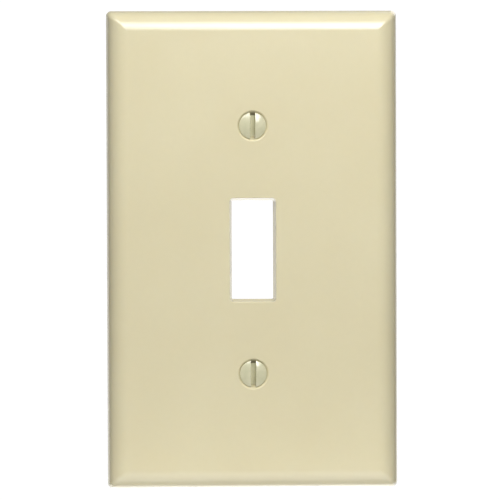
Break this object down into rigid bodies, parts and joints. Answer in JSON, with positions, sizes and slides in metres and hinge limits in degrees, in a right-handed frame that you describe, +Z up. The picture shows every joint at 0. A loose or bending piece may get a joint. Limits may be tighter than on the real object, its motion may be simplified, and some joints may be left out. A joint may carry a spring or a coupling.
{
  "type": "toggle switch wall plate",
  "caption": "Ivory moulded cover plate for a toggle light switch, with a rolled edge, a hollow ribbed back and slotted oval-head screws that thread into the switch behind it.",
  "frame": {"origin": "on the wall, midway between the two screws, which is the centre of the plate's back rim", "axes": "+X to the right as the plate is read, +Y into the wall along the screws, +Z up; the front faces -Y"},
  "size_m": [0.071, 0.0136, 0.1164],
  "materials": {
    "ivory_plastic": "smooth gloss, compression-moulded urea",
    "ivory_enamelled_steel": "zinc-plated steel with a baked ivory enamel on the head"
  },
  "bodies": {
    "plate": {"wall_plate": "ivory_plastic"},
    "upper_screw": {"upper_screw": "ivory_enamelled_steel"},
    "lower_screw": {"lower_screw": "ivory_enamelled_steel"}
  },
  "joints": [
    {"name": "upper_screw_turn", "type": "hinge", "parent": "plate", "child": "upper_screw", "pos_m": [0, 0, 0.03016], "axis": [0, 1, 0], "continuous": true},
    {"name": "lower_screw_turn", "type": "hinge", "parent": "plate", "child": "lower_screw", "pos_m": [0, 0, -0.03016], "axis": [0, 1, 0], "continuous": true}
  ]
}
